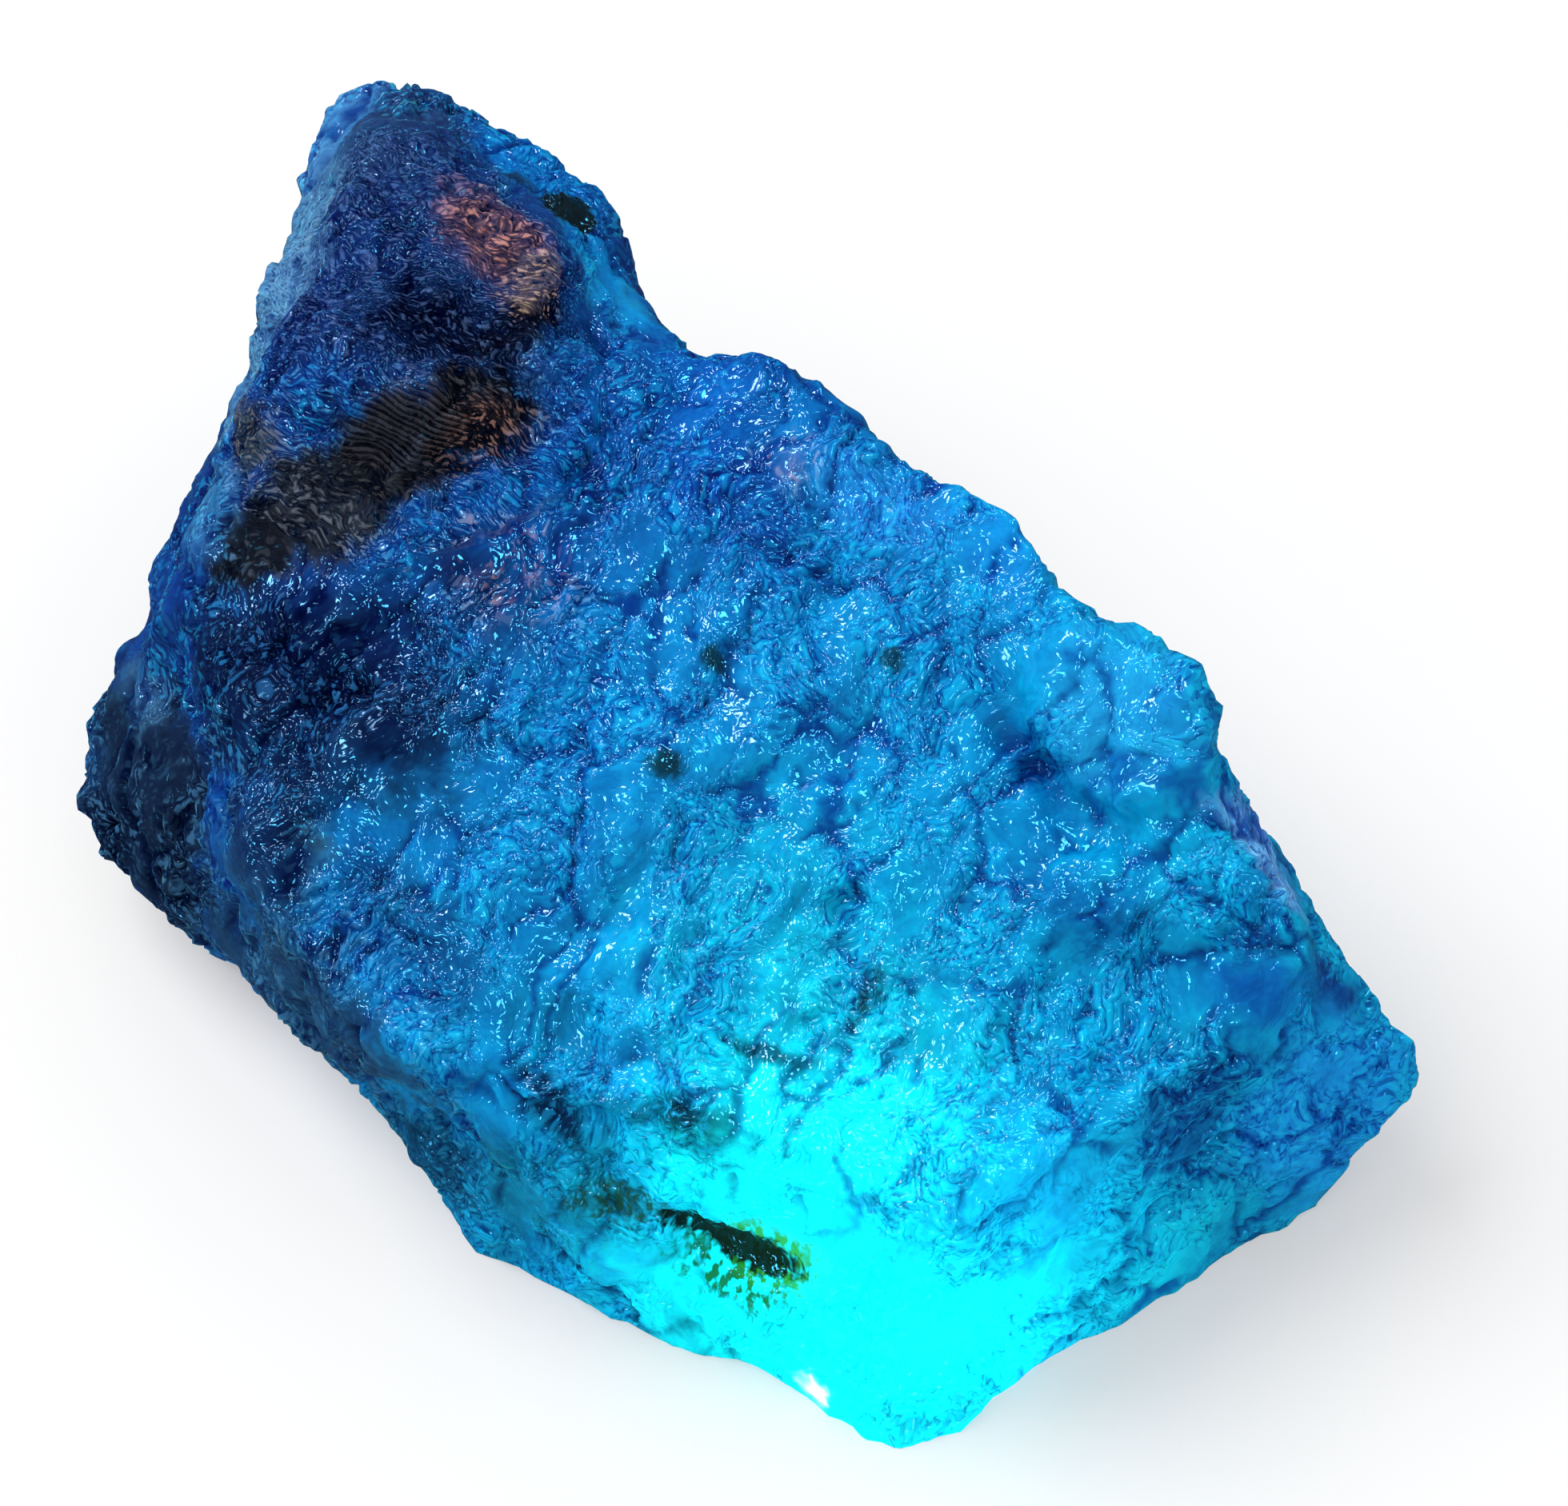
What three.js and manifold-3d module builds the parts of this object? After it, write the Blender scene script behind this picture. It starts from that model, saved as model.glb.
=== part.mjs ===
// Rough sapphire: one broken block of translucent blue corundum, 94 mm long, standing on its flattest broken face.
// Millimetres, +Z up. +X runs along the block from its peaked end to its square-broken end, +Y across it to the back,
// and the origin is under the middle of its bounding box, on the surface that it stands on.
import * as THREE from "three";
import { ConvexHull } from "three/addons/math/ConvexHull.js";
import { ImprovedNoise } from "three/addons/math/ImprovedNoise.js";
import { TessellateModifier } from "three/addons/modifiers/TessellateModifier.js";
import { mergeVertices } from "three/addons/utils/BufferGeometryUtils.js";
import Module from "manifold-3d";

const HEART = new THREE.Vector3(-13, 1, 12); // every broken face can be seen from here
const CORNER_STEP = 3.6; // the creases are walked in steps of about this length
const LONGEST_EDGE = 3.1; // of a triangle, before the relief is put on
const MOST_HALVINGS = 12; // of one edge, far more than the longest needs
const SAME_POINT = 0.001; // points closer than this are one
const WORN = 0.35; // how far each point is drawn to its neighbours, which blunts the creases by about 0.5 mm
const SUNK = -1.1; // the foot reaches this far below the rest face, which is then cut flat at zero

// Creases between the broken faces, each a run of corner points [x, y, z].
const CREASES = {
  backRim: [
    [-46, 14, 30], [-41.5, 16.5, 31.5], [-37, 17.5, 31.5], [-32.5, 18.5, 31], [-29.5, 19.5, 30], [-25.5, 19.5, 29],
    [-22, 17, 29], [-17, 16, 30], [-13.5, 16.5, 30.5], [-12.5, 17.5, 31.5], [-7, 19.5, 33], [-0.5, 19.5, 33],
    [5.5, 21, 33], [9.5, 22.5, 33], [14, 21.5, 32], [19, 21.5, 31], [21, 23, 31], [25, 23.5, 30], [27.5, 22.5, 29],
    [28, 21.5, 28],
  ],
  squareEnd: [
    [28, 21.5, 28], [30, 24, 24], [35.5, 25.5, 19], [41, 26, 15], [45, 27.5, 12], [46.5, 26.5, 10],
    [46, 23.5, 6], [45.5, 21.5, 2], [44, 18, SUNK],
  ],
  foot: [
    [44, 18, SUNK], [44, 11, SUNK], [44, 4, SUNK], [43, -1.5, SUNK], [43.5, -8.5, SUNK], [42.5, -11.5, SUNK],
    [39, -13.5, SUNK], [33, -16, SUNK], [28, -18.5, SUNK], [19, -22.5, SUNK], [15, -24, SUNK], [6, -21.5, SUNK],
    [-3, -22.5, SUNK], [-14, -23, SUNK], [-22, -20, SUNK], [-27, -13, SUNK], [-32, -6, SUNK], [-38, 1, SUNK],
    [-40, 8, SUNK], [-35, 13, SUNK], [-24, 14.5, SUNK], [-10, 18, SUNK], [4, 22.5, SUNK], [18, 24.5, SUNK],
    [32, 24, SUNK], [41, 22, SUNK], [44, 18, SUNK],
  ],
  undercut: [
    [15, -24, SUNK], [11, -24, 3], [5, -24.5, 6], [0, -26, 8], [-4.5, -26, 8.5], [-10.5, -26.5, 7.5],
    [-17, -27.5, 7], [-22, -27.5, 8], [-25.5, -25.5, 9], [-28, -23, 11], [-28.5, -20, 14], [-28, -17.5, 15],
  ],
  leftBelly: [
    [-28, -17.5, 15], [-31, -14.5, 16], [-31.5, -11.5, 19], [-32, -9, 22], [-33, -7, 25], [-36, -2.5, 27],
    [-36.5, -0.5, 28], [-41.5, 5, 28], [-45.5, 8.5, 27], [-47.5, 11.5, 28], [-46, 14, 30],
  ],
  leftRidge: [
    [-43, 13, 32], [-36, 5, 36], [-32, 0, 37], [-29, -4, 36.5], [-27, -8, 35.5], [-24.5, -11.5, 34], [-23, -15, 30],
    [-21, -18.5, 27],
  ],
  frontRim: [
    [-21, -18.5, 27], [-15.5, -21, 27], [-11.5, -22, 26.5], [-7.5, -24.5, 24.5], [-4, -27, 22.5], [2.5, -27, 20.5],
    [8, -27, 19.5], [12.5, -25, 20], [17.5, -22.5, 19], [20.5, -19, 17.5], [25, -15, 20.5], [31, -11, 19.5],
    [36, -9, 18.5], [40, -6.5, 18], [40, -1, 18.5], [40, 4, 18.5], [40.5, 12, 18.5], [39.5, 16, 19.5], [37.5, 17, 21],
  ],
  endStrip: [[28, 21.5, 28], [33, 20.5, 26.5], [37.5, 20.5, 24.5], [40.5, 20.5, 22], [43, 22, 15], [45, 21, 9]],
  shoulderTop: [
    [-35.5, 10, 36], [-29.5, 10.5, 37], [-23, 11.5, 36.5], [-18.5, 8.5, 36], [-18.5, 5.5, 35.5], [-14, 2, 33.2],
  ],
  shoulderFoot: [
    [-36.5, 14, 32.5], [-31, 15, 32.5], [-24.5, 15, 32], [-20, 11.5, 32], [-16.5, 7, 32.5], [-14, 2, 33.2],
  ],
  riserTop: [[-18.5, 5.5, 35.5], [-18, -1.5, 37], [-20.5, -6.5, 37.5], [-24, -10, 35]],
  riserFoot: [[-14, 2, 33.2], [-14, -3.5, 33], [-18, -8, 33], [-19.5, -12, 32.5], [-20, -15, 29.5]],
  valley: [[-14, 2, 33.2], [-8, 5, 31.7], [-3.5, 8.5, 31], [1, 12.5, 30.8], [5, 16, 30.8], [10, 19.5, 31]],
  bulgeGroove: [[-27, -18, 17], [-22, -20, 17], [-18, -22, 17], [-14, -24, 16], [-10.5, -25.5, 14]],
  bulgeCrest: [[-25, -21.5, 17], [-21.5, -23.5, 16.5], [-18, -26, 14], [-14.5, -27, 11]],
  toe: [[38.5, -12.5, 4], [40.5, -6.5, 5.5], [41.5, -3.5, 6.5]],
  back: [
    [46.5, 26.5, 10], [38, 26.5, 13], [30, 27, 16], [18, 26.5, 17], [6, 25.5, 16], [-6, 24, 15], [-15, 19.5, 16],
    [-23, 16.5, 16], [-30, 17.5, 15], [-39, 16.5, 17], [-45, 13.5, 18], [-44, 7, 17], [-36.5, -3, 14],
    [-31, -10, 12], [-28, -17.5, 15],
  ],
};
// Single corner points, in between the creases.
const SPOTS = [
  [13, 9, 27], [-1.5, -10.5, 28], [12, -8.5, 23.9], [27, 7, 22.6], [28, -3, 21], [23, 20, 29], [-12, -8.5, 31],
  [42.5, 19, 14.5], [41.5, 14.5, 12], [22, -21, 9], [34, -12, 13], [42, 4, 9], [0, 0, SUNK],
];

// What is sunk into the faces or stands up from them follows a run of points with a radius about it, and at its
// middle rises by so much. First the grooves, which run across the block as it parted.
const GROOVES = [
  { run: [[5, 11.5, 30], [6, 7, 29], [7, 3, 27.5], [7.5, 1, 27]], radius: 2.6, rise: -1 },
  { run: [[14.5, -1, 24.5], [16.5, -4.5, 23], [18, -8.5, 22.5]], radius: 2.4, rise: -0.9 },
  { run: [[20.5, 1.5, 23], [22, -2.5, 22], [25, -6.5, 20.5]], radius: 2.2, rise: -0.8 },
  { run: [[12, -7, 24.5], [12, -11, 23.5], [11.5, -15, 22.5]], radius: 2.4, rise: -0.8 },
  { run: [[18, 15, 28.5], [22, 13, 26], [25, 15, 26], [30.5, 15.5, 24.5]], radius: 2.6, rise: -1.3 },
  { run: [[15, -23.5, 18.5], [19, -20.5, 17.5], [21, -19, 17]], radius: 2, rise: -1.1 },
  { run: [[22, -13.5, 21], [24.5, -7, 20.5], [27, 1, 21.5]], radius: 2, rise: -0.6 },
  { run: [[40, 3, 16.5], [40.5, 0.5, 14], [40.5, -2, 13], [41, -5, 9.5]], radius: 2.2, rise: -1 },
  { run: [[40.5, 12, 18.5], [40.5, 9.5, 15.5], [41.5, 4.5, 11.5], [42, 1, 7]], radius: 2.4, rise: -1.1 },
  { run: [[41, 17.5, 14.5], [41, 13.5, 10], [42, 8, 7.5]], radius: 2.2, rise: -1 },
];
// Scars are shallow round hollows that a flake left, and the first is the pit of the dark green inclusion.
const SCARS = [
  { run: [[27, -17, 10.5], [32.5, -13.5, 11.5]], radius: 2.6, rise: -0.9 },
  { run: [[15.5, -17.5, 20.5]], radius: 5, rise: -1.1 },
  { run: [[21, -8, 21.5]], radius: 3.6, rise: -0.7 },
  { run: [[-3.5, -9.5, 28]], radius: 5, rise: -0.7 },
];
const LUMPS = [
  { run: [[20.5, 18, 29], [24, 20.5, 29]], radius: 6, rise: 1.1 },
  { run: [[8.5, 6, 28.5], [10, 1, 27]], radius: 4.5, rise: 0.9 },
  { run: [[28.5, 11, 23]], radius: 6, rise: 0.8 },
  { run: [[5.5, -3.5, 27]], radius: 4.5, rise: 0.6 },
  { run: [[15, 4, 25.5], [17.5, -1, 24]], radius: 3, rise: 0.7 },
  { run: [[-4.5, -16, 26.5]], radius: 5, rise: 0.7 },
  { run: [[31, -2, 20]], radius: 5, rise: 0.6 },
  { run: [[-2, 16.5, 32.5]], radius: 4.5, rise: 0.7 },
  { run: [[-13, 8.5, 32.5]], radius: 5, rise: 0.6 },
  { run: [[35, -11, 14]], radius: 5, rise: 0.7 },
  { run: [[19.5, -21, 9.5]], radius: 5, rise: 0.6 },
  { run: [[42.5, 6, 4.5]], radius: 4, rise: 0.6 },
];

// The unevenness of every broken face: how long its waves are along X, Y and Z, where they start, and their height.
const SWELL = { length: [9, 12, 9], start: [3.1, 7.7, 0], height: 0.9 };
const LEDGES = { length: [5.5, 9, 7], start: [0, 11.3, 4.2], height: 0.22 };
const LEDGES_PER_WAVE = 4;
const LEDGE_RAMP = [0.35, 0.65]; // the share of a ledge's width that its riser takes
const FACETS = { length: [2.7, 3.4, 2.7], start: [5.5, 0, 9.1], height: 0.45 };

// Walks every crease in short steps, so that it stays an edge of the net.
function walkCreases() {
  const found = new Map();
  const keep = (p) => found.set(p.toArray().map((v) => v.toFixed(2)).join(), p);
  for (const run of Object.values(CREASES)) {
    for (let i = 1; i < run.length; i++) {
      const from = new THREE.Vector3(...run[i - 1]);
      const to = new THREE.Vector3(...run[i]);
      const steps = Math.max(1, Math.round(from.distanceTo(to) / CORNER_STEP));
      for (let k = 0; k <= steps; k++) {
        keep(from.clone().lerp(to, k / steps));
      }
    }
  }
  SPOTS.forEach((p) => keep(new THREE.Vector3(...p)));
  return [...found.values()];
}

// Joins the points in the way that they are seen from the heart.
function joinPoints(points) {
  const onSphere = points.map((p) => p.clone().sub(HEART).normalize());
  const hull = new ConvexHull().setFromPoints(onSphere);
  const corners = [];
  for (const face of hull.faces) {
    const seen = [face.edge, face.edge.next, face.edge.next.next].map((edge) => edge.head().point);
    corners.push(...seen.map((p) => points[onSphere.indexOf(p)]));
  }
  return new THREE.BufferGeometry().setFromPoints(corners);
}

// Blunts the creases: each point moves a little towards the middle of its neighbours.
function blunt(geometry) {
  const at = geometry.getAttribute("position");
  const index = geometry.index;
  const sums = Array.from({ length: at.count }, () => new THREE.Vector3());
  const counts = new Array(at.count).fill(0);
  for (let i = 0; i < index.count; i++) {
    const here = index.getX(i);
    const next = index.getX(i % 3 === 2 ? i - 2 : i + 1);
    sums[here].add(new THREE.Vector3().fromBufferAttribute(at, next));
    counts[here] += 1;
  }
  for (let i = 0; i < at.count; i++) {
    const p = new THREE.Vector3().fromBufferAttribute(at, i);
    p.lerp(sums[i].divideScalar(counts[i]), WORN);
    at.setXYZ(i, p.x, p.y, p.z);
  }
}

const noise = new ImprovedNoise();

// From -1 to 1, at a point among the waves.
function wave(p, { length, start }) {
  const [x, y, z] = p.toArray().map((v, i) => v / length[i] + start[i]);
  return noise.noise(x, y, z);
}

function unevenness(p) {
  const slope = wave(p, LEDGES) * LEDGES_PER_WAVE;
  const ledge = Math.floor(slope) + THREE.MathUtils.smoothstep(slope - Math.floor(slope), ...LEDGE_RAMP);
  return wave(p, SWELL) * SWELL.height + ledge * LEDGES.height + wave(p, FACETS) * FACETS.height;
}

// How far a point is from a run of points.
function distanceToRun(p, run) {
  const ends = run.map((q) => new THREE.Vector3(...q));
  const nearest = new THREE.Vector3();
  const distances = ends.map((end, i) => {
    new THREE.Line3(ends[Math.max(0, i - 1)], end).closestPointToPoint(p, true, nearest);
    return i === 0 ? end.distanceTo(p) : nearest.distanceTo(p);
  });
  return Math.min(...distances);
}

function featureRise(p) {
  let rise = 0;
  for (const feature of [...GROOVES, ...SCARS, ...LUMPS]) {
    rise += feature.rise * (1 - THREE.MathUtils.smoothstep(distanceToRun(p, feature.run), 0, feature.radius));
  }
  return rise;
}

// Moves every point out along its normal, or in, by the unevenness and the features there.
function roughen(geometry) {
  geometry.computeVertexNormals();
  const at = geometry.getAttribute("position");
  const facing = geometry.getAttribute("normal");
  for (let i = 0; i < at.count; i++) {
    const p = new THREE.Vector3().fromBufferAttribute(at, i);
    const n = new THREE.Vector3().fromBufferAttribute(facing, i);
    p.addScaledVector(n, unevenness(p) + featureRise(p));
    at.setXYZ(i, p.x, p.y, p.z);
  }
}

const wasm = await Module();
wasm.setup();

// Cuts off what is below the rest face, which leaves it flat.
function cutRestFace(geometry) {
  const mesh = new wasm.Mesh({
    numProp: 3,
    vertProperties: new Float32Array(geometry.getAttribute("position").array),
    triVerts: new Uint32Array(geometry.index.array),
  });
  const cut = wasm.Manifold.ofMesh(mesh).trimByPlane([0, 0, 1], 0).getMesh();
  const flat = new THREE.BufferGeometry();
  flat.setAttribute("position", new THREE.BufferAttribute(cut.vertProperties, 3));
  flat.setIndex(new THREE.BufferAttribute(cut.triVerts, 1));
  return flat;
}

function centreOnOrigin(geometry) {
  geometry.computeBoundingBox();
  const middle = geometry.boundingBox.getCenter(new THREE.Vector3());
  geometry.translate(-middle.x, -middle.y, 0);
}

function sapphire() {
  const split = new TessellateModifier(LONGEST_EDGE, MOST_HALVINGS).modify(joinPoints(walkCreases()));
  const net = mergeVertices(split, SAME_POINT);
  blunt(net);
  roughen(net);
  const geometry = cutRestFace(net);
  centreOnOrigin(geometry);
  const blue = new THREE.MeshStandardMaterial({ color: "#1469b4", roughness: 0.35, metalness: 0 });
  const mesh = new THREE.Mesh(geometry, blue);
  mesh.name = "sapphire";
  return mesh;
}

const rock = new THREE.Group();
rock.add(sapphire());
export default rock;
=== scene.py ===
import math

import bmesh
import bpy
from mathutils import Matrix, Vector


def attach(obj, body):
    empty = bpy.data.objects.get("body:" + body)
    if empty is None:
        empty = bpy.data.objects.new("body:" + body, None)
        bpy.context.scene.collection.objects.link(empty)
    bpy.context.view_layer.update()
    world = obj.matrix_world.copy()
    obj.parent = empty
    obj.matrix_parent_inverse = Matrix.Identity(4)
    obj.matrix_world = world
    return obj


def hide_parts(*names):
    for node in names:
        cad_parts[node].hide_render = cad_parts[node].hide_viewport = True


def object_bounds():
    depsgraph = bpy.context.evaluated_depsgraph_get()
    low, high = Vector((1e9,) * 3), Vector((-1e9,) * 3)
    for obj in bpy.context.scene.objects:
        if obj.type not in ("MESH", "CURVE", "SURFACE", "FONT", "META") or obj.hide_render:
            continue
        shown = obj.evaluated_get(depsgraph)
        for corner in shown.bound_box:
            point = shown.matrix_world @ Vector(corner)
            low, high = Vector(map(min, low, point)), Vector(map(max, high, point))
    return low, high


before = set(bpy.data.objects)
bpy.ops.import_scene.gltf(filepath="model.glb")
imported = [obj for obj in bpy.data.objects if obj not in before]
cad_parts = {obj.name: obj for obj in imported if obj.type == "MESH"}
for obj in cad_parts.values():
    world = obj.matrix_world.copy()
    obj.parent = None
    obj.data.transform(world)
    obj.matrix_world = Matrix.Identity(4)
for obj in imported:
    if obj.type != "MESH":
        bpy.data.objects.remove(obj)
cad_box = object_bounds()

# The view. The stone is looked down on from the side of its front corner, through a long lens, as a single
# specimen on a table.
AIM = Vector((0.00621, 0.00787, 0.016))
TURN, HEIGHT = math.radians(52), math.radians(55)
STAND_OFF = 0.42
LENS, SENSOR = 154, 36

towards = Vector((math.sin(TURN) * math.cos(HEIGHT), -math.cos(TURN) * math.cos(HEIGHT), math.sin(HEIGHT)))
right = Vector((math.cos(TURN), math.sin(TURN), 0))
upward = towards.cross(right)
camera = bpy.data.objects.new("camera", bpy.data.cameras.new("camera"))
camera.data.lens = LENS
camera.data.sensor_width = SENSOR
camera.data.sensor_fit = "HORIZONTAL"
camera.data.clip_start, camera.data.clip_end = 0.01, 20
looking = Matrix((right, upward, towards)).transposed().to_4x4()
camera.matrix_world = Matrix.Translation(AIM + towards * STAND_OFF) @ looking
bpy.context.scene.collection.objects.link(camera)
bpy.context.scene.camera = camera

# The stone's body: a block of corundum, broken out of its rock and never cut. It split along uneven
# fractures, which leave shallow bowls with sharp rims, flat crystal faces of a millimetre or two, creased
# swells along the stone's grain, and thin parallel plates of darker rock on the step below its high end.
SAME_POINT = 1e-6
ON_THE_TABLE = 1e-5
# the longest edges left as the block is cut finer in steps, and on its hidden underside, in metres
FINER_STEPS = (0.0024, 0.0012, 0.00058)
LONGEST_BELOW = 0.003
MM_IN_A_METRE = 1000.0
# widths, heights, spacings and bends in mm, and turns in radians
FRACTURE = {
    "Wide bend": 5.0,
    "Narrow bend": 1.3,
    "Pad width": 4.2,
    "Pad height": 0.7,
    "Pad step": 0.25,
    "Crack depth": 0.2,
    "Face width": 1.6,
    "Face tilt": 0.7,
    "Swell width": 2.4,
    "Swell height": 1.8,
    "Ledge width": 1.7,
    "Ledge height": 2.0,
    "Grain width": 1.3,
    "Grain height": 0.5,
    "Plate spacing": 1.1,
    "Plate height": 0.35,
    "Lift": -0.1,
    "Grain turn": math.radians(-25),
    "High end turn": math.radians(62),
}
# forms that stand out from the rest: middle, half sizes and turn in mm and degrees, how far each stands up or
# lies deep in mm, and how soft its edge is
FORMS = [
    ("ear", (24, 20, 29), (7.5, 6, 6), 0, 1.3, 0.35),
    ("ear_groove", (22, 14.8, 27), (6, 1.6, 4), 5, -0.9, 0.9),
    ("low_tongue", (17, -13, 22), (3.5, 5.5, 3), 25, 0.5, 0.35),
    ("middle_tongue", (23, -4, 22), (2.5, 5, 3), 25, 0.5, 0.35),
    ("long_groove", (6, 4, 29), (1.2, 8, 4), 25, -0.6, 0.9),
    ("middle_groove", (19, 0, 24), (1.0, 6, 4), 25, -0.5, 0.9),
    ("front_lip", (24, -15.5, 19.5), (6, 1.0, 2), 38, -0.5, 0.9),
    ("end_groove", (39, 10, 17), (1.2, 7, 5), 0, -0.5, 0.9),
    ("wall_groove", (41, 2, 11), (3, 0.9, 7), 20, -0.5, 0.9),
]
# where the ledges of the high end and the plates below it lie: middle, half sizes and turn, as the forms
HIGH_END = (-25, -2, 36), (19, 17, 10), 0
PLATES = (-17.5, -4, 34.5), (3.6, 5, 4), -25
# what way the plates face
PLATES_FACE = (-0.33, 0.83, 0.44)
# how the grain and the ledges are drawn out, along themselves and in height: less than 1 is longer
GRAIN_STRETCH, LEDGE_STRETCH, STRETCH_IN_HEIGHT = 0.45, 0.35, 0.8
# how much closer the finest grain lies, on the body and on the ledges: across, along and in height
FINEST_GRAIN, FINEST_LEDGES = (1.0, 1.6, 1.2), (1.6, 1.9, 2.0)
# the mean height of the creased swells, taken off them so that they rise as much as they dip
MEAN_SWELL = 0.09
# how high above the table the relief begins and is full, in mm
FOOT_LOW, FOOT_HIGH = 0.02, 1.2
# the middle that a noise's colour varies about
GREY = (0.5, 0.5, 0.5)


def add(tree, kind, inputs=None, **settings):
    """Adds one node: settings by name, inputs by name or number, each a value, a socket or another node."""
    new = tree.nodes.new(kind)
    for name, value in settings.items():
        setattr(new, name, value)
    for key, value in (inputs or {}).items():
        if isinstance(key, str):
            key = next(i for i, s in enumerate(new.inputs) if s.name == key and s.enabled)
        if isinstance(value, bpy.types.Node):
            value = next(out for out in value.outputs if out.enabled)
        if isinstance(value, bpy.types.NodeSocket):
            tree.links.new(value, new.inputs[key])
        else:
            new.inputs[key].default_value = value
    return new


def finer(source):
    """A merged copy of the block's mesh in small even triangles."""
    work = bmesh.new()
    work.from_mesh(source)
    bmesh.ops.remove_doubles(work, verts=work.verts, dist=SAME_POINT)
    for longest in FINER_STEPS:
        long = []
        for edge in work.edges:
            below = all(v.co.z < ON_THE_TABLE for f in edge.link_faces for v in f.verts)
            if edge.calc_length() > (max(longest, LONGEST_BELOW) if below else longest):
                long.append(edge)
        bmesh.ops.subdivide_edges(work, edges=long, cuts=1)
        bmesh.ops.triangulate(work, faces=[f for f in work.faces if len(f.verts) > 3])
    work.verts.index_update()
    mesh = bpy.data.meshes.new("sapphire_stone")
    mesh.from_pydata([v.co[:] for v in work.verts], [], [[v.index for v in f.verts] for f in work.faces])
    work.free()
    return mesh


def nodes_tree(name, values):
    """A Geometry Nodes tree with one geometry in, one out and one number in for each of the named values."""
    made = bpy.data.node_groups.new(name, "GeometryNodeTree")
    made.interface.new_socket("Geometry", in_out="INPUT", socket_type="NodeSocketGeometry")
    made.interface.new_socket("Geometry", in_out="OUTPUT", socket_type="NodeSocketGeometry")
    for value in values:
        made.interface.new_socket(value, in_out="INPUT", socket_type="NodeSocketFloat")
    return made


def made_plain(thing, tree, values):
    """Runs a tree on the object with its values, and leaves the result as the object's own mesh."""
    worker = thing.modifiers.new(tree.name, "NODES")
    worker.node_group = tree
    for socket in tree.interface.items_tree:
        if socket.in_out == "INPUT" and socket.name in values:
            worker[socket.identifier] = values[socket.name]
    result = bpy.data.meshes.new_from_object(thing.evaluated_get(bpy.context.evaluated_depsgraph_get()))
    thing.modifiers.clear()
    thing.data = result


breaking = nodes_tree("fractured surface", FRACTURE)
given = add(breaking, "NodeGroupInput").outputs
place = add(breaking, "GeometryNodeInputPosition")
place_mm = add(breaking, "ShaderNodeVectorMath", {0: place, "Scale": MM_IN_A_METRE}, operation="SCALE")
place_parts = add(breaking, "ShaderNodeSeparateXYZ", {0: place_mm})


def sway(tree, noise, at, reach):
    """at, moved about by up to half of reach mm, which is a number or a socket."""
    if isinstance(reach, float):
        reach = (reach,) * 3
    centred = add(tree, "ShaderNodeVectorMath", {0: noise.outputs["Color"], 1: GREY}, operation="SUBTRACT")
    return add(tree, "ShaderNodeVectorMath", {0: centred, 1: reach, 2: at}, operation="MULTIPLY_ADD")


def zone(tree, source, middle, half, turn, strength, softness, fray=0.0):
    """strength inside an egg-shaped part of the stone, turned by so many degrees, and nothing outside it."""
    local = add(tree, "ShaderNodeVectorMath", {0: source, 1: middle}, operation="SUBTRACT")
    if turn:
        back = math.radians(-turn)
        local = add(tree, "ShaderNodeVectorRotate", {"Vector": local, "Angle": back}, rotation_type="Z_AXIS")
    local = add(tree, "ShaderNodeVectorMath", {0: local, 1: half}, operation="DIVIDE")
    reach = add(tree, "ShaderNodeVectorMath", {0: local}, operation="LENGTH").outputs["Value"]
    reach = add(tree, "ShaderNodeMath", {0: reach, 1: fray})
    return add(
        tree, "ShaderNodeMapRange", {"Value": reach, 1: 1.0 - softness, 2: 1.0, 3: strength, 4: 0.0},
        interpolation_type="SMOOTHSTEP",
    )


# the block's flat sides are eased into one skin, which stays put along the foot
loose = add(breaking, "ShaderNodeMapRange", {"Value": place_parts.outputs["Z"], 1: 0.01, 2: 0.02})
eased = add(
    breaking, "GeometryNodeBlurAttribute", {"Value": place, "Iterations": 6, "Weight": loose},
    data_type="FLOAT_VECTOR",
)
smooth = add(breaking, "GeometryNodeSetPosition", {"Geometry": given["Geometry"], "Position": eased})

# the pattern is bent twice, over 6 mm and over 1.5 mm, so that no face is a straight-sided cell; it runs
# along the stone, and across it in the ledges of the high end
bend_coarse = add(breaking, "ShaderNodeTexNoise", {"Vector": place_mm, "Scale": 0.16})
bend_fine = add(breaking, "ShaderNodeTexNoise", {"Vector": place_mm, "Scale": 0.7})
bent_once = sway(breaking, bend_coarse, place_mm, given["Wide bend"])
bent = sway(breaking, bend_fine, bent_once, given["Narrow bend"])
high_end = zone(breaking, bent_once, *HIGH_END, strength=1.0, softness=0.25)


def running(turn, stretch):
    """The bent place, turned, with everything drawn out along the new y."""
    angle = given[turn]
    turned = add(breaking, "ShaderNodeVectorRotate", {"Vector": bent, "Angle": angle}, rotation_type="Z_AXIS")
    drawn_out = (1.0, stretch, STRETCH_IN_HEIGHT)
    return add(breaking, "ShaderNodeVectorMath", {0: turned, 1: drawn_out}, operation="MULTIPLY")


grain_place = running("Grain turn", GRAIN_STRETCH)
ledge_place = running("High end turn", LEDGE_STRETCH)
# the material reads its finest grain at this place, which runs along the ledges on the high end
on_high_end = add(breaking, "ShaderNodeMath", {0: high_end, 1: 0.2}, operation="GREATER_THAN")
along_grain = add(breaking, "ShaderNodeVectorMath", {0: grain_place, 1: FINEST_GRAIN}, operation="MULTIPLY")
along_ledges = add(breaking, "ShaderNodeVectorMath", {0: ledge_place, 1: FINEST_LEDGES}, operation="MULTIPLY")
chip_place = add(
    breaking, "ShaderNodeMix", {"Factor": on_high_end, "A": along_grain, "B": along_ledges},
    data_type="VECTOR",
)


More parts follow.
